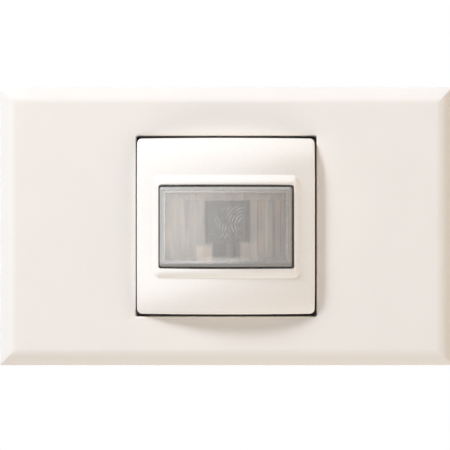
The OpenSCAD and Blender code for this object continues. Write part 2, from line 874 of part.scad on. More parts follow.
module terminal_block() {
    color("DarkSlateGray") difference() {
        box(-block_w / 2, block_w / 2, block_low, block_low + block_h, rear_z, power_low);
        each_terminal() {
            rod(wire_r, rear_z - 1, rear_z + lead_in + 1);
            box(-clamp_w / 2 - touch, clamp_w / 2 + touch, -clamp_h / 2 - touch, clamp_h / 2 + touch,
                rear_z + lead_in, power_low + 1);
        }
        for (k = [-1, 0, 1])
            translate([k * term_pitch, 0, term_z]) {
                bar_y(term_head_r + 0.2, block_low - 1, well_y);
                bar_y(clamp_bolt_r + clear, block_low, block_mid);
            }
        // Step between the poles, on the rear face
        for (s = [-1, 1])
            translate([s * term_pitch / 2, 0, 0])
                box(-0.5, 0.5, block_low - 1, block_low + block_h + 1, rear_z - 1, rear_z + 1);
    }
}

module terminal_clamps() {
    color("DarkGoldenrod") each_terminal() difference() {
        box(-clamp_w / 2, clamp_w / 2, -clamp_h / 2, clamp_h / 2, clamp_low, power_low);
        rod(wire_r + 0.15, clamp_low - 1, power_low - 1);
        translate([0, 0, term_z]) bar_y(clamp_bolt_r + touch, -clamp_h / 2 - 1, 0);
    }
}

module terminal_screws() {
    color("Silver") for (k = [-1, 0, 1])
        translate([k * term_pitch, 0, term_z]) difference() {
            union() {
                bar_y(term_head_r, well_y - term_head_t, well_y - touch);
                bar_y(clamp_bolt_r, well_y - 1, block_mid - wire_r - 0.2);
            }
            box(-term_head_r - 1, term_head_r + 1, well_y - 2 * term_head_t, well_y - term_head_t / 2,
                -slot_t / 2, slot_t / 2);
            box(-slot_t / 2, slot_t / 2, well_y - 2 * term_head_t, well_y - term_head_t / 2,
                -0.65 * term_head_r, 0.65 * term_head_r);
        }
}

module rear_housing() {
    half = housing / 2;
    latch_top = latch_z - 0.1;
    color("LightGray") difference() {
        union() {
            difference() {
                slab(housing, housing, 2.4, rear_z, frame_t);
                slab(housing_in, housing_in, 1, rear_z + floor_t, frame_t + 1);
            }
            intersection() {
                slab(housing - 1, housing - 1, 2, rear_z, power_low);
                for (p = corners(boss_at, boss_at))
                    translate(p) rod(tower_r, rear_z + 1, power_low);
            }
            for (s = [0, 1])
                mirror([s, 0, 0]) translate([half, latch_w / 2 - 1, 0]) rotate([90, 0, 0])
                    linear_extrude(latch_w - 2)
                        polygon([[-0.2, 0.1], [0.3, 0.1], [1, 0.8], [1, latch_top], [-0.2, latch_top]]);
        }
        // Slits that free the two latch arms
        for (s = [0, 1], y = [-1, 1])
            mirror([s, 0, 0]) translate([half, y * latch_w / 2, 0])
                box(-housing_wall - 1, 1, -0.4, 0.4, -7, frame_t + 1);
        for (p = corners(boss_at, boss_at))
            translate(p) {
                rod(screw_r + 0.2, rear_z - 1, power_low + 1);
                rod(head_r + 0.2, rear_z - 1, rear_z + head_t + 0.6);
            }
        // Bare field on the rear face
        translate([0, recess_y, 0]) slab(recess_w, recess_h, 1, rear_z - 1, rear_z + recess_t);
        // Vents in the top wall
        for (k = [-2 : 2])
            translate([k * vent_pitch, half, vent_z])
                box(-vent_w / 2, vent_w / 2, -housing_wall - 1, 1, -vent_l / 2, vent_l / 2);
        translate([0, block_low, rear_z])
            box(-block_w / 2 - clear, block_w / 2 + clear, -0.1, block_h + clear, -1, floor_t + 1);
        for (k = [-1, 0, 1])
            translate([k * term_pitch, 0, term_z])
                bar_y(term_head_r + 0.3, -half - 1, -housing_in / 2 + 0.5);
    }
}

module housing_screws() {
    top = rear_z + head_t + 0.6;
    color("Silver") for (p = corners(boss_at, boss_at))
        translate(p) difference() {
            union() {
                rod(head_r, top - head_t, top);
                rod(screw_r, top - eps, power_top + screw_bite);
            }
            box(-1.3, 1.3, -0.25, 0.25, top - head_t - 1, top - head_t + 0.8);
            box(-0.25, 0.25, -1.3, 1.3, top - head_t - 1, top - head_t + 0.8);
        }
}

stand() cover_plate();
stand() mounting_frame();
stand() front_carrier();
stand() push_pad();
stand() fresnel_lens();
stand() optics_tray();
stand() sensor_holder();
stand() pyro_can();
stand() pyro_window();
stand() indicator_led();
stand() light_sensor();
stand() sensor_board();
stand() signal_chip();
stand() key_switch();
stand() key_plunger();
stand() return_springs();
stand() time_trimmer();
stand() time_dial();
stand() light_trimmer();
stand() light_dial();
stand() board_connector();
stand() power_board();
stand() relay();
stand() film_capacitor();
stand() smoothing_capacitor();
stand() varistor();
stand() fuse();
stand() terminal_block();
stand() terminal_clamps();
stand() terminal_screws();
stand() rear_housing();
stand() housing_screws();
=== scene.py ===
"""Looks of a motion sensor light switch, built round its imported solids.

Sizes in the mesh code are millimetres: u to the right, v up the wall, w out of the wall.
"""

import math

import bmesh
import bpy
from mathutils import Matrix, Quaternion, Vector


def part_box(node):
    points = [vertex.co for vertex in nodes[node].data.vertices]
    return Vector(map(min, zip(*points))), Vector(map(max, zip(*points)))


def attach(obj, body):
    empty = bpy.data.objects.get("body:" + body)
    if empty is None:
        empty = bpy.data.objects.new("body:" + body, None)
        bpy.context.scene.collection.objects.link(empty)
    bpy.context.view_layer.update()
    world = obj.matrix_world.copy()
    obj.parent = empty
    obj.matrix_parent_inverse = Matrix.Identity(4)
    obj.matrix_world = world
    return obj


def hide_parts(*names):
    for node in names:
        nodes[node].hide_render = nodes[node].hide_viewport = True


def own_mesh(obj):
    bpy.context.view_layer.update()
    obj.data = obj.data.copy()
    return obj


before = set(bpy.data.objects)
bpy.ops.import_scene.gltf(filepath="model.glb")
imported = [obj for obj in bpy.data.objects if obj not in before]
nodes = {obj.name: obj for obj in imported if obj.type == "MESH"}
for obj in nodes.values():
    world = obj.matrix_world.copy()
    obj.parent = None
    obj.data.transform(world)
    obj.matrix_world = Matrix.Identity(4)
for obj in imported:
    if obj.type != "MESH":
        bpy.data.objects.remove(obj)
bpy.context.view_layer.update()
scene = bpy.context.scene

MM = 0.001

# Cover plate, with the opening as wide as the photograph's gap asks
PLATE_W, PLATE_H, PLATE_D, PLATE_WALL, PLATE_CORNER = 114.3, 70.3, 8.0, 2.2, 0.3
BEVEL, BEVEL_DEG, BEVEL_SHARE = 4.4, 36.0, 0.62
OPENING, OPENING_R, SLEEVE = 45.5, 0.5, 1.3
HOOK_U, HOOK_W, HOOK_T, HOOK_GAP = 30.0, 8.0, 1.2, 0.35

# Mounting frame, how far it stays inside the plate's wall, and the top of the carrier's base in it
FRAME_T, FRAME_INSET, BASE_T = 3.0, 1.9, 1.4
BASE_TOP = FRAME_T + BASE_T

# Push pad: rim, bowed front, window with its collar, hinge and press point
PAD, PAD_WALL, PAD_EDGE, PAD_CORNER, PAD_INNER_R = 44.2, 1.5, 0.35, 1.2, 0.4
PAD_HALF_U, PAD_HALF_V, PAD_SHIFT = 22.24, 21.97, -0.11
DOME_R, END_R, LEVEL, CORNER_PROUD, SKIRT = 84.0, 22.0, 13.4, 0.3, 5.855
ROLL_PAST, ROLL_SOFT = 0.44, 4.0
WINDOW_W, WINDOW_H, WINDOW_V, WINDOW_R = 33.62, 20.7, -0.15, 0.5
COLLAR_W, COLLAR_H, COLLAR_R = 36.5, 25.5, 1.6
COLLAR_RISE, COLLAR_ROUND, COLLAR_SOFT = 0.8, 3.0, 0.1
HINGE_V, HINGE_W, PRESS_V, PRESS_DEG = 18.2, 6.7, -16.0, 1.5

# Lens: shell, foot lip, rows of prism strips, ring steps over the sensor
LENS_W, LENS_H, LENS_R, LENS_WALL, LENS_EDGE = 32.85, 19.8, 74.0, 0.9, 0.75
LENS_LIP, LENS_LIP_T, LENS_CORNER, LENS_U, LENS_V = 1.25, 1.0, 0.5, -0.155, -0.165
ROW_EDGES = (0.0, 0.09, 0.27, 0.63, 0.86, 1.0)
ROW_STRIPS = (10, 16, 16, 16, 14)
TOOTH, ROOF_STEP, BREAK, RING_STEP = 0.32, 0.16, 0.012, 0.05
LENS_EASE = (0, 0.06, 0.16, 0.3, 0.46, 0.64, 0.78, 0.9)
RING_U, RING_V, RING_PITCH = 4.6, 0.35, 0.78
RING_MID, STRIP, IMAGE_STRIP, STREAK_W, STREAK_H = 0.25, 2.05, 1.15, 1.3, 11.0
SKIN, RIM, PRISM = 0, 1, 2

# Return springs
SPRING_U, SPRING_R, SPRING_TOP, WIRE = 14.5, 1.75, 9.306, 0.22

# Points along each side and each corner of a ring, and round a post and a pin
SIDE, ARC, POST, PIN = 36, 6, 36, 32

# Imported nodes: weld distance, largest turn in a flat face, smallest turn that is rounded
WELD, FLAT_DEG, SHARP_DEG = 0.002, 0.5, 40.0


def at(u, v, w):
    """Point of the shared frame, in metres."""
    return Vector((u * MM, -w * MM, v * MM))


# Meshes


def ring(hw, hh, r):
    """Points round a rectangle of half sizes hw and hh with corners of radius r."""
    arcs = []
    for sx, sy, start in ((1, -1, -90), (1, 1, 0), (-1, 1, 90), (-1, -1, 180)):
        turns = [math.radians(start + 90 * k / ARC) for k in range(ARC + 1)]
        arcs.append([(sx * (hw - r) + r * math.cos(a), sy * (hh - r) + r * math.sin(a))
                     for a in turns])
    points = []
    for i in range(4):
        points += arcs[i]
        a, b = arcs[i][-1], arcs[(i + 1) % 4][0]
        points += [(a[0] + (b[0] - a[0]) * k / SIDE, a[1] + (b[1] - a[1]) * k / SIDE)
                   for k in range(1, SIDE)]
    return points


def ring_turns():
    """Outward directions at the points of such a ring."""
    turns = []
    for start in (-90, 0, 90, 180):
        turns += [start + 90 * k / ARC for k in range(ARC + 1)] + [start + 90] * (SIDE - 1)
    return [(math.cos(math.radians(t)), math.sin(math.radians(t))) for t in turns]


def loft(bm, loops):
    """Skin of quads over closed loops of points, back to the first loop."""
    rows = [[bm.verts.new(at(*p)) for p in loop] for loop in loops]
    rows.append(rows[0])
    for a, b in zip(rows, rows[1:]):
        for i in range(len(a)):
            j = (i + 1) % len(a)
            bm.faces.new((a[i], a[j], b[j], b[i]))


def prism(bm, outline, place, a, b):
    """Outline of 2-D points swept from a to b; place turns (x, y, t) into u, v, w."""
    ends = [[bm.verts.new(at(*place(x, y, t))) for x, y in outline] for t in (a, b)]
    bm.faces.new(ends[0][::-1])
    bm.faces.new(ends[1])
    for i in range(len(outline)):
        j = (i + 1) % len(outline)
        bm.faces.new((ends[0][i], ends[0][j], ends[1][j], ends[1][i]))


def circle(r, n, x, y):
    """Points round a circle about (x, y)."""
    turns = [2 * math.pi * k / n for k in range(n)]
    return [(x + r * math.cos(a), y + r * math.sin(a)) for a in turns]


def upright(x, y, t):
    """Sweep out of the wall."""
    return x, y, t


def sideways(x, y, t):
    """Sweep to the right."""
    return t, x, y


def upward(x, y, t):
    """Sweep up the wall."""
    return x, t, y


def made(name, bm, body, materials, replaced=(), angle=32):
    """Object from a bmesh, smooth apart from edges sharper than angle, riding on a body."""
    bmesh.ops.recalc_face_normals(bm, faces=bm.faces[:])
    mesh = bpy.data.meshes.new(name)
    bm.to_mesh(mesh)
    bm.free()
    mesh.polygons.foreach_set("use_smooth", [True] * len(mesh.polygons))
    mesh.set_sharp_from_angle(angle=math.radians(angle))
    for m in materials:
        mesh.materials.append(m)
    obj = bpy.data.objects.new(name, mesh)
    scene.collection.objects.link(obj)
    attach(obj, body)
    if replaced:
        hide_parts(*replaced)
    return obj


def plate_loops():
    """Closed section of the cover plate as loops, from the opening's wall round the rim and back."""
    half_w, half_h, mouth = PLATE_W / 2, PLATE_H / 2, OPENING / 2
    turn = math.radians(BEVEL_DEG)
    run = BEVEL_SHARE * BEVEL
    r = run / math.sin(turn)
    lip, rim, foot, short, clear = 0.3, 0.25, 0.2, 0.02, 0.4
    loops = []

    def square_loop(half, corner, w):
        loops.append([(u, v, w) for u, v in ring(half, half, corner)])

    def border_loop(inset, w):
        loops.append([(u, v, w) for u, v in ring(half_w - inset, half_h - inset, PLATE_CORNER)])

    # Opening's wall and its rounded lip
    low = FRAME_T + clear
    square_loop(mouth, OPENING_R, low + foot)
    square_loop(mouth, OPENING_R, PLATE_D - lip)
    for k in range(1, 6):
        a = math.radians(90 * k / 5)
        out = lip * (1 - math.cos(a))
        square_loop(mouth + out, OPENING_R + out, PLATE_D - lip + lip * math.sin(a))
    # Flat front
    lip_r = OPENING_R + lip
    for k in range(1, 6):
        t = k / 5
        hw = mouth + lip + (half_w - BEVEL - short - mouth - lip) * t
        hh = mouth + lip + (half_h - BEVEL - short - mouth - lip) * t
        corner = lip_r + (PLATE_CORNER - lip_r) * t
        loops.append([(u, v, PLATE_D) for u, v in ring(hw, hh, corner)])
    # Sloping border, rim and foot
    for k in range(0, 13):
        a = turn * k / 12
        border_loop(BEVEL - r * math.sin(a), PLATE_D - r * (1 - math.cos(a)))
    end_w = PLATE_D - r * (1 - math.cos(turn)) - (BEVEL - run) * math.tan(turn)
    touch = rim * (1 - math.sin(turn))
    centre_w = end_w + touch * math.tan(turn) - rim * math.cos(turn)
    for k in range(0, 6):
        a = turn + (math.pi / 2 - turn) * k / 5
        border_loop(rim * (1 - math.sin(a)), centre_w + rim * math.cos(a))
    for k in range(0, 4):
        a = math.radians(90 * k / 3)
        border_loop(foot * (1 - math.cos(a)), foot - foot * math.sin(a))
    for k in range(0, 4):
        a = math.radians(90 * k / 3)
        border_loop(PLATE_WALL - foot * (1 - math.sin(a)), foot - foot * math.cos(a))
    # Inner face and the opening's sleeve
    inner_d = PLATE_D - PLATE_WALL
    border_loop(PLATE_WALL, inner_d - r * (1 - math.cos(turn)) - (BEVEL - run) * math.tan(turn))
    for k in range(0, 7):
        a = turn * (1 - k / 6)
        border_loop(PLATE_WALL + BEVEL - r * math.sin(a), inner_d - r * (1 - math.cos(a)))
    out, out_r, fillet = mouth + SLEEVE, OPENING_R + SLEEVE, 0.3
    square_loop(out + fillet, out_r + fillet, inner_d)
    square_loop(out + 0.08, out_r + 0.1, inner_d - 0.09)
    square_loop(out, out_r, inner_d - fillet)
    square_loop(out, out_r, low + foot)
    square_loop(out - foot, out_r - foot, low)
    square_loop(mouth + foot, OPENING_R + foot, low)
    return loops


def plate_mesh(materials):
    """Cover plate with its four hooks and pry notch."""
    bm = bmesh.new()
    loft(bm, plate_loops())
    # Hooks that clip over the mounting frame, each on a root block that reaches into the front
    low, lip, catch, ease, margin, bury, deep = 0.3, 0.95, 1.5, 0.15, 0.7, 0.3, 1
    root = PLATE_D - PLATE_WALL - deep
    arm = PLATE_H / 2 - PLATE_WALL - FRAME_INSET + HOOK_GAP
    hook = [(0, root + 0.5), (HOOK_T, root + 0.5), (HOOK_T, low), (-low, low), (-lip, lip),
            (-lip, catch), (-ease, catch), (0, catch + ease)]
    block = [(-1, root + 0.2), (-0.8, root), (HOOK_T + bury, root), (HOOK_T + bury, root + HOOK_T),
             (-1, root + HOOK_T)]
    for su in (-1, 1):
        for sv in (-1, 1):
            for outline, half in ((hook, HOOK_W / 2), (block, HOOK_W / 2 + margin)):
                prism(bm, [(sv * (arm + x), y) for x, y in outline], sideways,
                      su * HOOK_U - half, su * HOOK_U + half)
    obj = made("plate", bm, "switch_body", materials, ["cover_plate"])
    # Pry notch in the lower rim
    half, tall, ease, past = 4, 1.4, 0.3, 1
    notch = [(-half, -past), (half, -past), (half, tall - ease), (half - ease, tall),
             (ease - half, tall), (-half, tall - ease)]
    tool = bmesh.new()
    prism(tool, notch, upward, -PLATE_H / 2 - past, -PLATE_H / 2 + PLATE_WALL + past)
    cut(obj, tool)


def cut(obj, tool):
    """Takes a closed bmesh out of an object's mesh."""
    bmesh.ops.recalc_face_normals(tool, faces=tool.faces[:])
    mesh = bpy.data.meshes.new("tool")
    tool.to_mesh(mesh)
    tool.free()
    other = bpy.data.objects.new("tool", mesh)
    scene.collection.objects.link(other)
    step = obj.modifiers.new("cut", "BOOLEAN")
    step.operation, step.object, step.solver = "DIFFERENCE", other, "EXACT"
    bpy.context.view_layer.update()
    done = bpy.data.meshes.new_from_object(obj.evaluated_get(bpy.context.evaluated_depsgraph_get()))
    obj.modifiers.clear()
    obj.data = done
    bpy.data.objects.remove(other)
    bpy.data.meshes.remove(mesh)


def bend(v, lift=0.0):
    """Radius of the pad's front about its upright axis; it falls off above and below the collar."""
    past = abs(v) - LEVEL - ROLL_PAST
    past = 0.5 * (past + math.hypot(past, ROLL_SOFT))
    return DOME_R - END_R + math.sqrt((END_R + lift) ** 2 - past * past)


DOME_C = PLATE_D + CORNER_PROUD - math.sqrt(bend(PAD / 2) ** 2 - (PAD / 2) ** 2)
LENS_TOP = -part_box("fresnel_lens")[0].y / MM


def dome(u, v, lift=0.0):
    """Height of the bowed front, or of a skin lifted from it."""
    return DOME_C + math.sqrt(bend(v, lift) ** 2 - u * u)


def inside(u, v, hw, hh, r):
    """How far a point is inside a rounded rectangle; negative outside."""
    x, y = abs(u) - hw + r, abs(v) - hh + r
    return r - math.hypot(max(x, 0), max(y, 0)) - min(max(x, y), 0)


def pad_top(u, v):
    """Height of the pad's front: the dome, and the collar that swells out of it round the window."""
    run = math.sqrt(2 * COLLAR_ROUND * COLLAR_RISE - COLLAR_RISE ** 2)
    d = inside(u, v - WINDOW_V, COLLAR_W / 2, COLLAR_H / 2, COLLAR_R)
    if d >= run:
        g = COLLAR_RISE
    elif d >= 0:
        g = COLLAR_RISE - COLLAR_ROUND + math.sqrt(COLLAR_ROUND ** 2 - (run - d) ** 2)
    else:
        g = d * run / (COLLAR_ROUND - COLLAR_RISE)
    return dome(u, v) + 0.5 * (g + math.sqrt(g * g + COLLAR_SOFT * COLLAR_SOFT))


def pad_loops():
    """Closed section of the pad as loops, from the window over the front, round the rim and back."""
    ww, wh, lip, past, ease = WINDOW_W / 2, WINDOW_H / 2, 0.25, 0.7, 0.15
    inner = PAD / 2 - PAD_WALL

    def low_ring(hw, hh, r):
        return [(u, v + WINDOW_V) for u, v in ring(hw, hh, r)]

    def rim_ring(inset):
        return [(u + PAD_SHIFT, v) for u, v in
                ring(PAD_HALF_U - inset, PAD_HALF_V - inset, PAD_CORNER - inset)]

    # Window's wall, its lip and the collar
    loops = [[(u, v, dome(u, v, -PAD_WALL)) for u, v in low_ring(ww, wh, WINDOW_R)]]
    for k in range(0, 5):
        a = math.radians(90 * k / 4)
        out = lip * (1 - math.cos(a))
        loops.append([(u, v, pad_top(u, v) - lip * (1 - math.sin(a)))
                      for u, v in low_ring(ww + out, wh + out, WINDOW_R + out)])
    far_w, far_h, far_r = COLLAR_W / 2 + past, COLLAR_H / 2 + past, COLLAR_R + past
    for k in range(1, 17):
        t = k / 16
        loops.append([(u, v, pad_top(u, v)) for u, v in
                      low_ring(ww + lip + (far_w - ww - lip) * t, wh + lip + (far_h - wh - lip) * t,
                               WINDOW_R + lip + (far_r - WINDOW_R - lip) * t)])
    collar = low_ring(far_w, far_h, far_r)

    # Bowed front out to the rounded edge, which leans with the front's fall
    rim, step = [], 0.4
    for (u, v), (nu, nv) in zip(rim_ring(0), ring_turns()):
        fall = (dome(u - step * nu, v - step * nv) - dome(u, v)) / step
        rim.append((u, v, nu, nv, math.atan(fall)))
    edge = [(u - nu * PAD_EDGE * (1 - math.sin(a)), v - nv * PAD_EDGE * (1 - math.sin(a)))
            for u, v, nu, nv, a in rim]
    for k in range(1, 13):
        t = k / 12
        way = [(p[0] + (q[0] - p[0]) * t, p[1] + (q[1] - p[1]) * t) for p, q in zip(collar, edge)]
        loops.append([(u, v, pad_top(u, v)) for u, v in way])
    base = [w - PAD_EDGE * math.cos(p[4]) for (u, v, w), p in zip(loops[-1], rim)]
    for k in range(1, 8):
        row = []
        for (u, v, nu, nv, lean), low in zip(rim, base):
            a = lean + (math.pi / 2 - lean) * k / 7
            inset = PAD_EDGE * (1 - math.sin(a))
            row.append((u - nu * inset, v - nv * inset, low + PAD_EDGE * math.cos(a)))
        loops.append(row)

    # Skirt and the inner skin
    loops.append([(u, v, SKIRT + ease) for u, v in rim_ring(0)])
    loops.append([(u, v, SKIRT) for u, v in rim_ring(ease)])
    loops.append([(u, v, SKIRT) for u, v in ring(inner + ease, inner + ease, PAD_INNER_R + ease)])
    loops.append([(u, v, SKIRT + ease) for u, v in ring(inner, inner, PAD_INNER_R)])
    for k in range(0, 9):
        t = k / 9
        way = ring(inner + (ww - inner) * t, inner + (wh - inner) * t,
                   PAD_INNER_R + (WINDOW_R - PAD_INNER_R) * t)
        loops.append([(u, v, dome(u, v, -PAD_WALL)) for u, v in
                      [(x, y + WINDOW_V * t) for x, y in way]])
    return loops


def pad_mesh(materials):
    """Push pad with its press post, spring seats, hinge pins and stop hooks."""
    bm = bmesh.new()
    loft(bm, pad_loops())

    def post(u, v, r, low):
        skin = dome(abs(u) + r, abs(v) + r, -PAD_WALL) + bury
        prism(bm, circle(r, POST, u, v), upright, low, skin)

    # How far posts and lugs reach into the skin
    bury, lug_bury = 0.5, 0.4
    press_r, press_low, seat_wall, seat_gap, seat_pin = 2.2, 6.55, 0.7, 0.2, 1
    lug_t, lug_r, lug_gap, pin_r, pin_reach, pin_root = 1.5, 1.6, 0.65, 1.0, 1.85, 0.2
    lug = PAD / 2 - PAD_WALL - lug_gap - lug_t
    lug_top = dome(lug + lug_t, HINGE_V + lug_r, -PAD_WALL) + lug_bury
    lug_outline = [(HINGE_V + lug_r, lug_top), (HINGE_V - lug_r, lug_top)]
    lug_outline += [p for p in circle(lug_r, PIN, HINGE_V, HINGE_W) if p[1] <= HINGE_W + 0.01]
    stop_u, stop_half, stop_v = 7.5, 2.5, PRESS_V - 1.6
    stop_low, stop_catch, slope = 1.9, 2.95, 0.6
    back, face, nose = stop_v - 0.8, stop_v + 0.4, stop_v + 1.3
    stop_outline = [(back, stop_low), (nose - slope, stop_low), (nose, stop_low + slope),
                    (nose, stop_catch), (face, stop_catch),
                    (face, dome(stop_u, stop_v, -PAD_WALL) + bury),
                    (back, dome(stop_u + stop_half, back, -PAD_WALL) + lug_bury)]
    post(0, PRESS_V, press_r, press_low)
    for s in (-1, 1):
        post(s * SPRING_U, PRESS_V, SPRING_R + seat_wall, SPRING_TOP)
        post(s * SPRING_U, PRESS_V, SPRING_R - WIRE - seat_gap, SPRING_TOP - seat_pin)
        prism(bm, lug_outline, sideways, s * lug, s * (lug + lug_t))
        prism(bm, circle(pin_r, PIN, HINGE_V, HINGE_W), sideways,
              s * (lug - pin_reach), s * (lug + pin_root))
        prism(bm, stop_outline, sideways, s * stop_u - stop_half, s * stop_u + stop_half)
    made("pad", bm, "pad", materials, ["push_pad"])


def grid_lines(lo, hi, breaks):
    """Even lines from lo to hi, with a close pair at each break instead of the lines near it."""
    n = max(2, round((hi - lo) / ROOF_STEP))
    near = ROOF_STEP * 0.45
    lines = [lo + (hi - lo) * k / n for k in range(n + 1)]
    for b in breaks:
        lines = [x for x in lines if abs(x - b) > near or x in (lo, hi)]
        lines += [b - BREAK, b + BREAK]
    return sorted(lines)


def eased(length, n):
    """Lines over a length: close together over its rounded ends, with n even steps between."""
    end = LENS_EASE[-1]
    even = [end + (length - 2 * end) * k / n for k in range(1, n)]
    return [*LENS_EASE, *even, *(length - e for e in LENS_EASE[::-1])]


def border(grid):
    """Points once round a grid of rows."""
    return (grid[0][:-1] + [line[-1] for line in grid[:-1]] + grid[-1][:0:-1]
            + [line[0] for line in grid[:0:-1]])


def sunk(points, w):
    """Places of points moved to height w."""
    return [Vector((p.co.x, -w * MM, p.co.z)) for p in points]


def lens_roof(u, v, half, tall):
    """Height of the inner face: prism strips in rows, and ring steps over the sensor."""
    smooth = LENS_TOP - LENS_R + math.sqrt((LENS_R - LENS_WALL) ** 2 - u * u)
    share = v / tall + 0.5
    row = sum(1 for e in ROW_EDGES[1:-1] if share > e)
    n = ROW_STRIPS[row]
    place = min(max((u + half) / (2 * half), 0), 0.99999) * n
    strip = int(place)
    part = place - strip
    if strip < n / 2:
        part = 1 - part
    # The strips' depths vary from row to row, and three rows share theirs
    phase = 1.7 if row in (1, 2, 3) else 3.4 + row
    depth = TOOTH * part * (0.55 + 0.45 * math.sin(strip * 2.4 + phase))
    if row in (2, 3) and abs(u) < RING_U:
        r = math.hypot(abs(u) - RING_U, v - RING_V)
        depth = 0.02 + RING_STEP * ((r / RING_PITCH) % 1.0)
    elif row in (0, 4):
        depth += RING_STEP * ((place * 4) % 1.0)
    return smooth + depth


def lens_mesh(materials):
    """Lens: bowed skin with a rounded edge, foot lip, and prisms on the inner face."""
    bm = bmesh.new()
    hw, hh, corner = LENS_W / 2, LENS_H / 2, LENS_CORNER
    us, vs = eased(LENS_W, 44), eased(LENS_H, 24)
    grid = []
    for y in vs:
        line = []
        for x in us:
            u, v = x - hw, y - hh
            px, py = max(abs(u) - hw + corner, 0) / corner, max(abs(v) - hh + corner, 0) / corner
            if px > 0 and py > 0:
                u = math.copysign(hw - corner + corner * px * math.sqrt(1 - py * py / 2), u)
                v = math.copysign(hh - corner + corner * py * math.sqrt(1 - px * px / 2), v)
            d = min(max(inside(u, v, hw, hh, corner), 0), LENS_EDGE)
            drop = LENS_EDGE - math.sqrt(LENS_EDGE ** 2 - (LENS_EDGE - d) ** 2)
            w = LENS_TOP - LENS_R + math.sqrt(LENS_R ** 2 - u * u) - drop
            line.append(bm.verts.new(at(u, v, w)))
        grid.append(line)
    for j in range(len(vs) - 1):
        for i in range(len(us) - 1):
            f = bm.faces.new((grid[j][i], grid[j][i + 1], grid[j + 1][i + 1], grid[j + 1][i]))
            edge = min(i, j, len(us) - 2 - i, len(vs) - 2 - j)
            f.material_index = RIM if edge < len(LENS_EASE) - 1 else SKIN

    def skirt(top, places):
        below = [bm.verts.new(p) for p in places]
        for i in range(len(top)):
            j = (i + 1) % len(top)
            bm.faces.new((top[i], top[j], below[j], below[i])).material_index = RIM
        return below

    # Side wall and foot lip
    foot_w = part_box("fresnel_lens")[1].y / -MM
    rim = border(grid)
    side = skirt(rim, sunk(rim, foot_w + LENS_LIP_T))
    grow_u, grow_v = (hw + LENS_LIP) / hw, (hh + LENS_LIP) / hh
    lip = skirt(side, [Vector((p.co.x * grow_u, p.co.y, p.co.z * grow_v)) for p in side])
    skirt(lip, sunk(lip, foot_w))

    # Inner face, its walls and the foot's underside
    half, tall = hw - LENS_WALL, LENS_H - 2 * LENS_WALL
    strips = sorted({round(-half + 2 * half * k / n, 4) for n in ROW_STRIPS for k in range(1, n)})
    ru = grid_lines(-half, half, strips)
    rv = grid_lines(-tall / 2, tall / 2, [(e - 0.5) * tall for e in ROW_EDGES[1:-1]])
    roof = [[bm.verts.new(at(u, v, lens_roof(u, v, half, tall))) for u in ru] for v in rv]
    for j in range(len(rv) - 1):
        for i in range(len(ru) - 1):
            f = bm.faces.new((roof[j][i], roof[j + 1][i], roof[j + 1][i + 1], roof[j][i + 1]))
            f.material_index = PRISM
    inner = border(roof)
    skirt(inner, sunk(inner, foot_w))
    loose = [e for e in bm.edges if len(e.link_faces) == 1]
    for f in bmesh.ops.triangle_fill(bm, use_beauty=True, edges=loose)["geom"]:
        if isinstance(f, bmesh.types.BMFace):
            f.material_index = RIM
    bmesh.ops.translate(bm, verts=bm.verts[:], vec=at(LENS_U, LENS_V, 0))
    made("lens", bm, "switch_body", materials, ["fresnel_lens"], angle=25)


def spring_mesh(materials):
    """Two coil springs with closed end turns, from the base up to the pad's seats."""
    bm = bmesh.new()
    clear, turns, per, around = 0.02, 5.5, 28, 10
    closed, closed_pitch = 0.75, 2 * WIRE * 0.6
    low, high = BASE_TOP + WIRE + clear, SPRING_TOP - WIRE - clear
    start, end = low + closed * closed_pitch, high - closed * closed_pitch
    for s in (-1, 1):
        rows = []
        for i in range(int(turns * per) + 1):
            t = i / per
            if t < closed:
                w = low + closed_pitch * t
            elif t > turns - closed:
                w = high - closed_pitch * (turns - t)
            else:
                w = start + (end - start) * (t - closed) / (turns - 2 * closed)
            a = 2 * math.pi * t
            row = []
            for k in range(around):
                b = 2 * math.pi * k / around
                d = SPRING_R + WIRE * math.cos(b)
                row.append(bm.verts.new(at(s * SPRING_U + d * math.cos(a), PRESS_V + d * math.sin(a),
                                           w + WIRE * math.sin(b))))
            rows.append(row)
        for a, b in zip(rows, rows[1:]):
            for i in range(around):
                j = (i + 1) % around
                bm.faces.new((a[i], a[j], b[j], b[i]))
        bm.faces.new(rows[0][::-1])
        bm.faces.new(rows[-1])
    obj = made("springs", bm, "switch_body", materials, ["return_springs"], angle=60)
    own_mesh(obj)


def seal_mesh(materials):
    """Soft rings that close the tray's holes round the two lamps."""
    bm = bmesh.new()
    floor_w = BASE_TOP + 1.0
    section = [(1.52, floor_w - 1.0), (1.64, floor_w - 1.0), (1.64, floor_w - 0.06), (1.58, floor_w),
               (1.16, floor_w + 0.02), (1.08, floor_w - 0.08)]
    for node in ("indicator_led", "light_sensor"):
        lo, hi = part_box(node)
        u, v = (lo.x + hi.x) / 2 / MM, (lo.z + hi.z) / 2 / MM
        loft(bm, [[(x, y, w) for x, y in circle(r, 48, u, v)] for r, w in section])
    made("lamp_seals", bm, "switch_body", materials)


# Materials


def shader(name):
    """Material with a plain Principled shader."""
    m = bpy.data.materials.new(name)
    m.use_nodes = True
    tree = m.node_tree
    tree.nodes.clear()
    out = put(tree, "OutputMaterial")
    bsdf = put(tree, "BsdfPrincipled")
    tree.links.new(bsdf.outputs[0], out.inputs[0])
    return m, tree, bsdf


def put(tree, kind, **values):
    """Node with settings and input values."""
    node = tree.nodes.new("ShaderNode" + kind)
    for key, value in values.items():
        if hasattr(node, key):
            setattr(node, key, value)
        else:
            node.inputs[key].default_value = value
    return node


def calc(tree, operation, *terms):
    """A Math node over sockets and numbers."""
    n = put(tree, "Math", operation=operation)
    for i, term in enumerate(terms):
        if isinstance(term, (int, float)):
            n.inputs[i].default_value = term
        else:
            tree.links.new(term, n.inputs[i])
    return n.outputs[0]


def times(tree, a, b):
    """Product of two values."""
    return calc(tree, "MULTIPLY", a, b)


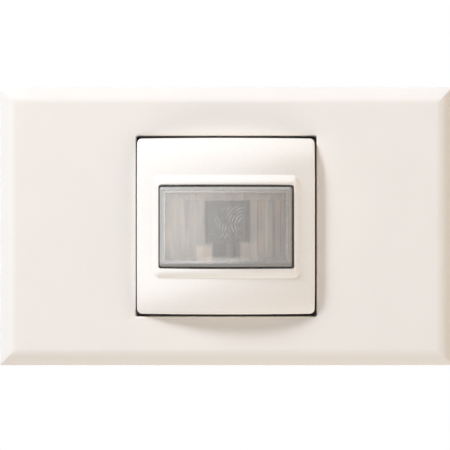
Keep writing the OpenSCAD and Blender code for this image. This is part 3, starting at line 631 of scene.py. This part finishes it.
def spread(tree, value, lo, hi, a=0.3, b=0.7):
    """A value from a to b laid out from lo to hi; a and b suit noise."""
    m = put(tree, "MapRange")
    for name, x in (("From Min", a), ("From Max", b), ("To Min", lo), ("To Max", hi)):
        m.inputs[name].default_value = x
    tree.links.new(value, m.inputs["Value"])
    return m.outputs["Result"]


def between(tree, value, lo, hi, soft):
    """1 from lo to hi and 0 outside, over a soft edge."""
    rise = spread(tree, value, 0.0, 1.0, lo - soft / 2, lo + soft / 2)
    fall = spread(tree, value, 1.0, 0.0, hi - soft / 2, hi + soft / 2)
    return times(tree, rise, fall)


def tint(tree, value, dark, light, a=0.3, b=0.7):
    """A colour between two by a value."""
    ramp = put(tree, "ValToRGB")
    for stop, place, colour in zip(ramp.color_ramp.elements, (a, b), (dark, light)):
        stop.position, stop.color = place, (*colour, 1)
    tree.links.new(value, ramp.inputs["Fac"])
    return ramp.outputs["Color"]


def mixed(tree, share, a, b):
    """Colour a going to b by a share."""
    m = put(tree, "Mix", data_type="RGBA")
    tree.links.new(share, m.inputs["Factor"])
    for name, c in (("A", a), ("B", b)):
        socket = [i for i in m.inputs if i.name == name and i.type == "RGBA"][0]
        if isinstance(c, tuple):
            socket.default_value = (*c, 1)
        else:
            tree.links.new(c, socket)
    return [o for o in m.outputs if o.type == "RGBA"][0]


def plane(tree, x, y):
    """Vector of two values."""
    v = put(tree, "CombineXYZ")
    tree.links.new(x, v.inputs["X"])
    tree.links.new(y, v.inputs["Y"])
    return v.outputs["Vector"]


def place_mm(tree):
    """Object coordinates to the right and up, in millimetres."""
    where = put(tree, "TexCoord")
    split = put(tree, "SeparateXYZ")
    tree.links.new(where.outputs["Object"], split.inputs["Vector"])
    return times(tree, split.outputs["X"], 1000.0), times(tree, split.outputs["Z"], 1000.0)


def reach(tree, vector):
    """Length of a vector."""
    n = put(tree, "VectorMath", operation="LENGTH")
    tree.links.new(vector, n.inputs[0])
    return n.outputs["Value"]


def noise(tree, scale, detail=3.0, rough=0.5):
    """Noise over the object."""
    where = put(tree, "TexCoord")
    n = put(tree, "TexNoise", Scale=scale, Detail=detail, Roughness=rough)
    tree.links.new(where.outputs["Object"], n.inputs["Vector"])
    return n.outputs["Fac"]


def bump(tree, bsdf, value, depth):
    """Fine relief, depth in metres."""
    b = put(tree, "Bump", Strength=1.0, Distance=depth)
    tree.links.new(value, b.inputs["Height"])
    tree.links.new(b.outputs["Normal"], bsdf.inputs["Normal"])


def mottled(tree, bsdf, value, colour, vary):
    """Base colour a little darker and lighter by a value."""
    dark, light = (tuple(min(c * k, 1.0) for c in colour) for k in (1 - vary, 1 + vary))
    tree.links.new(tint(tree, value, dark, light), bsdf.inputs["Base Color"])


def uneven(tree, bsdf, value, lo, hi):
    """Roughness from lo to hi by a value."""
    tree.links.new(spread(tree, value, lo, hi), bsdf.inputs["Roughness"])


def moulded(name, colour, rough, vary=0.03, grain=2400.0, depth=0.000012):
    """Moulded plastic: faint mottling, a spark-eroded grain and uneven gloss."""
    m, tree, bsdf = shader(name)
    blotch = noise(tree, 90.0, detail=4.0)
    mottled(tree, bsdf, blotch, colour, vary)
    uneven(tree, bsdf, blotch, rough * 0.88, rough * 1.12)
    bump(tree, bsdf, noise(tree, grain, detail=2.0, rough=0.6), depth)
    return m


def glossy(name, colour, rough, vary=0.015, coat=0.0):
    """Polished moulded plastic: smooth skin with a trace of flow ripple and fine dust."""
    m, tree, bsdf = shader(name)
    blotch = noise(tree, 70.0)
    dust = noise(tree, 5200.0, detail=1.0)
    ripple = noise(tree, 260.0, detail=2.0)
    mottled(tree, bsdf, blotch, colour, vary)
    uneven(tree, bsdf, dust, rough * 0.85, rough * 1.3)
    bsdf.inputs["Coat Weight"].default_value = coat
    bsdf.inputs["Coat Roughness"].default_value = 0.25
    bump(tree, bsdf, ripple, 0.0000012)
    return m


def metal(name, colour, rough):
    """Plated metal: cloudy tint and tumbled scratches."""
    m, tree, bsdf = shader(name)
    bsdf.inputs["Metallic"].default_value = 1.0
    cloud = noise(tree, 420.0, detail=4.0)
    scratches = noise(tree, 3800.0)
    mottled(tree, bsdf, cloud, colour, 0.08)
    uneven(tree, bsdf, scratches, rough * 0.7, rough * 1.4)
    bump(tree, bsdf, scratches, 0.000006)
    return m


def board_material(name):
    """Solder mask over groups of copper tracks."""
    m, tree, bsdf = shader(name)
    cells = put(tree, "TexVoronoi", voronoi_dimensions="2D", distance="CHEBYCHEV", Scale=0.2)
    tree.links.new(plane(tree, *place_mm(tree)), cells.inputs["Vector"])
    track = calc(tree, "FRACT", times(tree, cells.outputs["Distance"], 4.0))
    copper = between(tree, track, 0.25, 0.7, 0.1)
    mask = tint(tree, noise(tree, 160.0), (0.014, 0.115, 0.045), (0.020, 0.145, 0.055))
    tree.links.new(mixed(tree, copper, mask, (0.045, 0.235, 0.095)), bsdf.inputs["Base Color"])
    uneven(tree, bsdf, noise(tree, 1500.0), 0.28, 0.42)
    bump(tree, bsdf, copper, 0.00003)
    return m


def lens_skin_material(name, left, right, alpha, rough, ior, edge=0.0, foot=0.0):
    """Milky polyethylene skin with a hazy gloss, its colour painted from lighter at one end to darker
    at the other as shade.

    Edge is how strong a line just inside the lens's edge is: it stands for the wall behind the skin,
    painted light along the top and sides as a highlight and dark along the bottom as shade; foot is how
    much painted shade darkens the lowest rim.
    """
    m, tree, bsdf = shader(name)
    x, z = place_mm(tree)
    # Painted shade: lighter on the left and darker on the right, where less of the light falls
    colour = tint(tree, spread(tree, x, 0.0, 1.0, -16.0, 16.0), left, right, 0.0, 1.0)
    # Painted shade on the lowest rim, which faces down, away from the light
    dark = times(tree, spread(tree, z, 1.0, 0.0, -9.4, -8.9), foot)
    colour = mixed(tree, dark, colour, (0.22, 0.215, 0.205))
    bsdf.inputs["Alpha"].default_value = alpha
    if edge:
        # Painted line inside the edge: a highlight along the top and sides, shade along the bottom
        insets = [calc(tree, "SUBTRACT", half, calc(tree, "ABSOLUTE", calc(tree, "SUBTRACT", p, mid)))
                  for p, half, mid in ((x, LENS_W / 2, LENS_U), (z, LENS_H / 2, LENS_V))]
        low = spread(tree, z, 1.0, 0.0, -8.5, -8.2)
        strength = calc(tree, "ADD", times(tree, low, 1 - edge), edge)
        line = between(tree, calc(tree, "MINIMUM", *insets), 0.95, 1.45, 0.3)
        line = times(tree, line, strength)
        edge_highlight_and_shade = mixed(tree, low, (0.90, 0.88, 0.85), (0.20, 0.19, 0.185))
        colour = mixed(tree, line, colour, edge_highlight_and_shade)
        tree.links.new(calc(tree, "ADD", times(tree, line, 0.5), alpha), bsdf.inputs["Alpha"])
    tree.links.new(colour, bsdf.inputs["Base Color"])
    bsdf.inputs["IOR"].default_value = ior
    cloud = noise(tree, 900.0, detail=2.0)
    uneven(tree, bsdf, cloud, rough * 0.85, rough * 1.2)
    bump(tree, bsdf, cloud, 0.0000015)
    return m


def lens_prism_material(name):
    """Inner face of the lens: strips in rows, painted darker to the right as shade, painted highlight
    lines along the ring steps over the sensor, and its folded images.
    """
    m, tree, bsdf = shader(name)
    x, z = place_mm(tree)

    # 1 inside a rectangle and 0 outside, over soft edges
    def patch(across, up, soft_x, soft_z, value=x):
        return times(tree, between(tree, value, *across, soft_x), between(tree, z, *up, soft_z))

    # Strips: a tone of their own and streaks along them, broken at the first and last row
    tall = LENS_H - 2 * LENS_WALL
    low, high = (calc(tree, "GREATER_THAN", z, (ROW_EDGES[i] - 0.5) * tall) for i in (1, 4))
    row = calc(tree, "ADD", low, high)
    pick = put(tree, "TexWhiteNoise", noise_dimensions="2D")
    strip = calc(tree, "FLOOR", calc(tree, "DIVIDE", x, STRIP))
    tree.links.new(plane(tree, strip, row), pick.inputs["Vector"])
    streak = put(tree, "TexNoise", noise_dimensions="2D", Scale=1.0, Detail=2.0)
    along = calc(tree, "ADD", calc(tree, "DIVIDE", z, STREAK_H), times(tree, row, 3.7))
    tree.links.new(plane(tree, calc(tree, "DIVIDE", x, STREAK_W), along), streak.inputs["Vector"])
    tone = calc(tree, "ADD", times(tree, pick.outputs["Value"], 0.45),
                spread(tree, streak.outputs["Fac"], 0.0, 0.55))
    # A lit and a shaded copy of the strip tones, for painted shade
    lit_tone = tint(tree, tone, (0.60, 0.60, 0.59), (1.0, 0.86, 0.75), 0.15, 0.85)
    shaded_tone = tint(tree, tone, (0.36, 0.345, 0.32), (0.52, 0.43, 0.36), 0.15, 0.85)
    # Painted shade: the strips go from the lit copy on the left to the shaded copy on the right
    fade = spread(tree, x, 0.0, 1.0, -15.0, 15.0)
    colour = mixed(tree, times(tree, fade, 0.9), lit_tone, shaded_tone)
    # Lighter over the top row and greyer towards the bottom
    colour = mixed(tree, times(tree, high, 0.25), colour, (0.90, 0.85, 0.80))
    dip = spread(tree, z, 0.5, 0.0, -8.0, -3.5)
    colour = mixed(tree, dip, colour, (0.40, 0.41, 0.405))

    # Images of the grey sensor holder and of the pale tray beside it
    wide = patch((-5.3, 5.7), (-4.2, 6.3), 0.35, 0.3)
    slim = patch((-3.4, 3.5), (-7.9, -4.0), 0.35, 0.6)
    image = calc(tree, "MAXIMUM", wide, slim)
    fine = put(tree, "TexWhiteNoise", noise_dimensions="1D")
    tree.links.new(calc(tree, "FLOOR", calc(tree, "DIVIDE", x, IMAGE_STRIP)), fine.inputs["W"])
    grey = tint(tree, fine.outputs["Value"], (0.098, 0.099, 0.095), (0.165, 0.158, 0.146), 0.0, 1.0)
    colour = mixed(tree, times(tree, image, 0.95), colour, grey)
    left = patch((-7.5, -3.6), (-8.9, -4.8), 0.5, 1.2)
    right = patch((3.5, 7.8), (-8.6, -3.9), 0.5, 0.8)
    beige = calc(tree, "MAXIMUM", times(tree, left, 0.7), times(tree, right, 0.3))
    colour = mixed(tree, beige, colour, (0.92, 0.76, 0.62))

    # Painted highlight lines along the ring steps about two centres beside the middle, shown only in
    # parts
    side = calc(tree, "ABSOLUTE", calc(tree, "SUBTRACT", x, RING_MID))
    off = plane(tree, calc(tree, "SUBTRACT", side, RING_U), calc(tree, "SUBTRACT", z, RING_V))
    turn = calc(tree, "FRACT", calc(tree, "DIVIDE", reach(tree, off), RING_PITCH))
    ring_glint_share = spread(tree, noise(tree, 420.0, detail=1.0), 0.0, 1.0, 0.42, 0.62)
    shown = times(tree, patch((-9.0, 3.7), (-3.0, 4.9), 0.8, 0.8, side), ring_glint_share)
    ring_highlights = times(tree, between(tree, turn, 0.42, 0.58, 0.14), shown)
    colour = mixed(tree, times(tree, ring_highlights, 0.7), colour, (0.80, 0.80, 0.78))
    tree.links.new(colour, bsdf.inputs["Base Color"])

    dense = calc(tree, "MAXIMUM", times(tree, beige, 0.3), times(tree, image, 0.45))
    # The right side also grows denser, as part of the painted shade
    dense = calc(tree, "MAXIMUM", dense, times(tree, fade, 0.2))
    tree.links.new(calc(tree, "ADD", dense, 0.42), bsdf.inputs["Alpha"])
    cloud = noise(tree, 900.0, detail=2.0)
    uneven(tree, bsdf, cloud, 0.25, 0.36)
    bump(tree, bsdf, cloud, 0.000002)
    return m


plate_white = moulded("plate_satin", (0.855, 0.800, 0.742), 0.42, 0.008, 2600.0, 0.000006)
pad_white = glossy("pad_gloss", (0.875, 0.825, 0.768), 0.27, 0.006, coat=0.6)
# The lens's skin and rim are painted lighter on the left and darker on the right as shade; the skin's
# edge line adds painted highlight and shade, the rim's foot painted shade
lens_skin = lens_skin_material("lens_skin", (0.88, 0.84, 0.79), (0.60, 0.56, 0.52),
                               alpha=0.22, rough=0.24, ior=2.6, edge=0.4)
lens_rim = lens_skin_material("lens_rim", (0.485, 0.465, 0.435), (0.425, 0.395, 0.365),
                              alpha=0.88, rough=0.24, ior=1.6, foot=0.6)
lens_prism = lens_prism_material("lens_prism")

plate_mesh([plate_white])
pad_mesh([pad_white])
lens_mesh([lens_skin, lens_rim, lens_prism])
spring_mesh([metal("spring_steel", (0.62, 0.62, 0.63), 0.25)])
seal_mesh([moulded("seal_cream", (0.80, 0.75, 0.68), 0.6)])

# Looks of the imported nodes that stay
plain = {
    "mounting_frame": moulded("frame_grey", (0.10, 0.10, 0.105), 0.55, 0.12, 1500.0, 0.00003),
    # The carrier's near-black brown is painted shade: it makes the deep gaps round the pad look dark
    "front_carrier": moulded("carrier_gap_shade", (0.040, 0.030, 0.024), 0.6, 0.15, 1900.0, 0.00002),
    "optics_tray": moulded("tray_cream", (0.84, 0.79, 0.72), 0.5),
    "sensor_holder": moulded("holder_grey", (0.09, 0.093, 0.096), 0.55, 0.1),
    "pyro_can": metal("can_steel", (0.30, 0.30, 0.30), 0.4),
    "pyro_window": glossy("filter_dark", (0.03, 0.03, 0.028), 0.08, 0.2),
    "indicator_led": glossy("led_milky", (0.80, 0.76, 0.70), 0.15, 0.05),
    "light_sensor": glossy("led_clear", (0.72, 0.75, 0.78), 0.1, 0.05),
    "sensor_board": board_material("board_mask"),
    "signal_chip": moulded("chip_black", (0.02, 0.02, 0.022), 0.5, 0.15),
    "key_switch": moulded("key_black", (0.03, 0.03, 0.03), 0.5, 0.15),
    "key_plunger": moulded("dial_white", (0.82, 0.81, 0.77), 0.45),
    "time_trimmer": moulded("trimmer_blue", (0.05, 0.14, 0.45), 0.4, 0.06),
    "relay": glossy("relay_blue", (0.03, 0.07, 0.22), 0.3, 0.06),
    "film_capacitor": moulded("film_yellow", (0.72, 0.52, 0.10), 0.45, 0.06),
    "smoothing_capacitor": glossy("sleeve_blue", (0.03, 0.05, 0.16), 0.22, 0.08),
    "varistor": glossy("varistor_blue", (0.08, 0.20, 0.42), 0.25, 0.08),
    "fuse": moulded("fuse_tan", (0.66, 0.56, 0.43), 0.5, 0.06),
    "terminal_block": moulded("terminal_black", (0.045, 0.045, 0.047), 0.45, 0.12, 1500.0, 0.00003),
    "terminal_clamps": metal("brass", (0.72, 0.54, 0.24), 0.3),
    "terminal_screws": metal("zinc", (0.66, 0.66, 0.64), 0.32),
    "rear_housing": moulded("housing_grey", (0.60, 0.60, 0.58), 0.5, 0.03, 1300.0, 0.00004),
}
for same, like in (("time_dial", "key_plunger"), ("light_dial", "key_plunger"),
                   ("light_trimmer", "time_trimmer"), ("power_board", "sensor_board"),
                   ("board_connector", "signal_chip"), ("housing_screws", "terminal_screws")):
    plain[same] = plain[like]
for name, look in plain.items():
    nodes[name].data.materials.clear()
    nodes[name].data.materials.append(look)


def soften(name, width):
    """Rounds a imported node's sharp edges."""
    obj = nodes[name]
    obj.modifiers.new("weld", "WELD").merge_threshold = WELD * MM
    flat = obj.modifiers.new("flat", "DECIMATE")
    flat.decimate_type, flat.angle_limit = "DISSOLVE", math.radians(FLAT_DEG)
    edge = obj.modifiers.new("edge", "BEVEL")
    edge.width, edge.segments = width * MM, 2
    edge.limit_method, edge.angle_limit = "ANGLE", math.radians(SHARP_DEG)
    edge.use_clamp_overlap, edge.miter_outer = False, "MITER_ARC"
    obj.modifiers.new("even", "WEIGHTED_NORMAL").keep_sharp = False


for width, names in ((0.25, ("rear_housing", "film_capacitor")),
                     (0.2, ("mounting_frame", "relay")),
                     (0.12, ("terminal_block", "front_carrier", "optics_tray", "sensor_holder",
                             "key_switch", "time_trimmer", "light_trimmer", "time_dial",
                             "light_dial", "key_plunger")),
                     (0.08, ("terminal_clamps", "housing_screws", "terminal_screws",
                             "board_connector", "fuse"))):
    for name in names:
        soften(name, width)

# Camera, light and floor, in metres; VIEW_W is the width that the view takes in at depth VIEW_AT

DISTANCE, CAMERA_RIGHT, CAMERA_UP = 0.36, -0.00033, 0.00029
SENSOR, VIEW_W, VIEW_AT = 36.0, 0.11367, 0.006
AMBIENT, FAR, MIRRORED = 0.15, 2.5, 1.2
WARM, COOL, LOW_WARM = (1.18, 1.0, 0.82), (0.94, 0.99, 1.07), (1.05, 1.0, 0.95)
FLOOR_HALF, FLOOR_Z, FLOOR_FADE = 0.6, -0.19, (0.25, 0.58)

camera = bpy.data.objects.new("camera", bpy.data.cameras.new("camera"))
scene.collection.objects.link(camera)
scene.camera = camera
camera.location = (CAMERA_RIGHT, -DISTANCE, CAMERA_UP)
camera.rotation_euler = (math.radians(90), 0, 0)
camera.data.sensor_width = SENSOR
camera.data.lens = SENSOR * (DISTANCE - VIEW_AT) / VIEW_W


def softbox(name, place, wide, high, radiance, colour=(1, 1, 1), aim=None, roll=0.0,
            lights="matt gloss"):
    """Area lamp of a radiance where 1 is white, facing along aim or to the object.

    It can light matt surfaces alone, or show in glossy ones alone.
    """
    lamp = bpy.data.lights.new(name, "AREA")
    lamp.shape = "RECTANGLE"
    lamp.size, lamp.size_y = wide, high
    lamp.energy = radiance * math.pi * wide * high
    lamp.color = colour
    obj = bpy.data.objects.new(name, lamp)
    scene.collection.objects.link(obj)
    obj.location = place
    back = -Vector(aim) if aim else Vector(place).normalized()
    obj.rotation_mode = "QUATERNION"
    obj.rotation_quaternion = back.to_track_quat("Z", "Y") @ Quaternion((0, 0, 1), math.radians(roll))
    obj.visible_camera = False
    obj.visible_diffuse, obj.visible_glossy = "matt" in lights, "gloss" in lights


def far_lamp(name, right, up, spread_deg, level, front=1.0, **rest):
    """Lamp far off towards (right, front, up) of the object; at level 1 it turns a white face white."""
    place = Vector((right, -front, up)).normalized() * FAR
    side = 2 * FAR * math.tan(math.radians(spread_deg))
    softbox(name, place, side, side, level * math.pi * (FAR / side) ** 2, **rest)


# Place to the right and up for each 1 in front, half angle in degrees, level
far_lamp("key_light", -1.7, 1.8, 8, 0.98, colour=COOL)
far_lamp("key_edge", -1.25, 1.4, 7, 0.24, colour=COOL)
far_lamp("right_fill", 2.8, 0.1, 18, 0.44, colour=WARM, lights="matt")
far_lamp("right_top_fill", 1.2, 1.0, 12, 0.05, lights="matt")
far_lamp("low_fill", 0.0, -4.5, 16, 0.74, colour=LOW_WARM, lights="matt")
far_lamp("back_light", -0.5, 0.1, 14, 0.65, front=-1.0)
# Panels that only show in glossy surfaces
for name, right, up, wide, high, level, roll in (
        ("mirrored_left", -0.518, 0.44, 3.12, 1.44, 1.9, 46),
        ("mirrored_top", 0.45, 1.15, 1.5, 1.0, 1.7, 0),
        ("mirrored_low", 0.75, -1.4, 2.0, 1.0, 1.25, 0),
        ("mirrored_right", 1.65, 0.0, 0.9, 1.5, 2.1, 0)):
    softbox(name, (right, -MIRRORED, up), wide, high, level, aim=(0, 1, 0), roll=roll, lights="gloss")

world = bpy.data.worlds.new("studio")
scene.world = world
world.use_nodes = True
tree = world.node_tree
tree.nodes.clear()
path = put(tree, "LightPath")
seen = calc(tree, "MAXIMUM", path.outputs["Is Camera Ray"], path.outputs["Is Transmission Ray"])
seen = calc(tree, "MAXIMUM", seen, path.outputs["Is Glossy Ray"])
back = put(tree, "Background", Color=(1, 1, 1, 1))
tree.links.new(spread(tree, seen, AMBIENT, 1.0, 0.0, 1.0), back.inputs["Strength"])
tree.links.new(back.outputs[0], put(tree, "OutputWorld").inputs[0])

bm = bmesh.new()
bmesh.ops.create_grid(bm, x_segments=8, y_segments=8, size=FLOOR_HALF)
mesh = bpy.data.meshes.new("floor")
bm.to_mesh(mesh)
bm.free()
floor = bpy.data.objects.new("floor", mesh)
scene.collection.objects.link(floor)
floor.location = (0, 0, FLOOR_Z)
floor.visible_diffuse = floor.visible_glossy = floor.visible_transmission = False
floor.visible_shadow = False
# The floor fades out and can be seen through from below
pale = moulded("floor_pale", (0.62, 0.61, 0.59), 0.7, 0.01, 300.0, 0.0001)
tree = pale.node_tree
bsdf = [n for n in tree.nodes if n.type == "BSDF_PRINCIPLED"][0]
fade = spread(tree, reach(tree, put(tree, "TexCoord").outputs["Object"]), 1.0, 0.0, *FLOOR_FADE)
above = calc(tree, "SUBTRACT", 1.0, put(tree, "NewGeometry").outputs["Backfacing"])
tree.links.new(times(tree, fade, above), bsdf.inputs["Alpha"])
mesh.materials.append(pale)

scene.view_settings.view_transform = "Standard"

bpy.context.view_layer.update()
